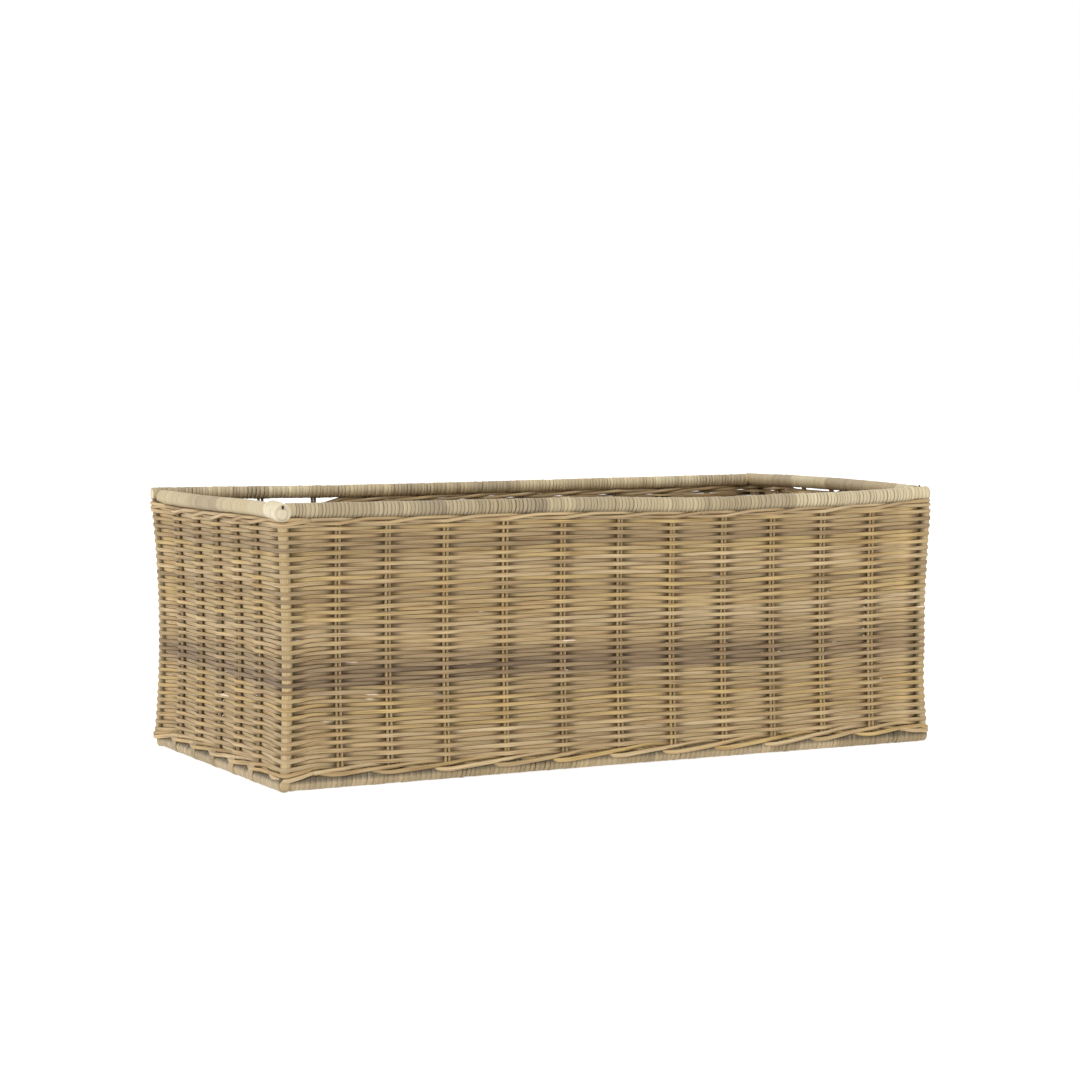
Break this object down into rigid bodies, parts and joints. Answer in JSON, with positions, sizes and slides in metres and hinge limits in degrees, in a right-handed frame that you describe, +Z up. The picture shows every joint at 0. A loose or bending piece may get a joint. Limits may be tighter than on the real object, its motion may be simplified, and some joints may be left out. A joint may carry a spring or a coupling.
{
  "type": "rattan storage basket",
  "caption": "Rectangular open-topped storage basket of woven rattan core on a pole frame, its rim and foot rails wrapped in peel.",
  "frame": {"origin": "on the surface that the basket stands on, under the middle of the basket", "axes": "+Z up, X along the basket's length, the front wall faces -Y"},
  "size_m": [0.6, 0.296, 0.222],
  "materials": {
    "peel": "satin rattan peel, close-wound",
    "pole": "matt cut rattan",
    "post": "satin rattan pole",
    "stake": "matt rattan core",
    "strand": "matt rattan core, tan with paler and browner strands",
    "base_strand": "matt rattan core"
  },
  "bodies": {
    "root": {"foot_pole_left": "pole", "foot_peel_left": "peel", "foot_pole_right": "pole", "foot_peel_right": "peel", "foot_pole_front": "pole", "foot_peel_front": "peel", "foot_pole_back": "pole", "foot_peel_back": "peel", "rim_pole_left": "pole", "rim_peel_left": "peel", "rim_pole_right": "pole", "rim_peel_right": "peel", "rim_pole_front": "pole", "rim_peel_front": "peel", "rim_pole_back": "pole", "rim_peel_back": "peel", "corner_post_front_left": "post", "corner_post_front_right": "post", "corner_post_back_right": "post", "corner_post_back_left": "post", "front_stake_01": "stake", "front_stake_02": "stake", "front_stake_03": "stake", "front_stake_04": "stake", "front_stake_05": "stake", "front_stake_06": "stake", "front_stake_07": "stake", "front_stake_08": "stake", "front_stake_09": "stake", "front_stake_10": "stake", "front_stake_11": "stake", "right_stake_01": "stake", "right_stake_02": "stake", "right_stake_03": "stake", "right_stake_04": "stake", "right_stake_05": "stake", "back_stake_01": "stake", "back_stake_02": "stake", "back_stake_03": "stake", "back_stake_04": "stake", "back_stake_05": "stake", "back_stake_06": "stake", "back_stake_07": "stake", "back_stake_08": "stake", "back_stake_09": "stake", "back_stake_10": "stake", "back_stake_11": "stake", "left_stake_01": "stake", "left_stake_02": "stake", "left_stake_03": "stake", "left_stake_04": "stake", "left_stake_05": "stake", "side_weaver_1": "strand", "side_weaver_2": "strand", "base_stake_1": "stake", "base_stake_2": "stake", "base_stake_3": "stake", "base_stake_4": "stake", "base_stake_5": "stake", "base_weaver": "base_strand"}
  },
  "joints": []
}
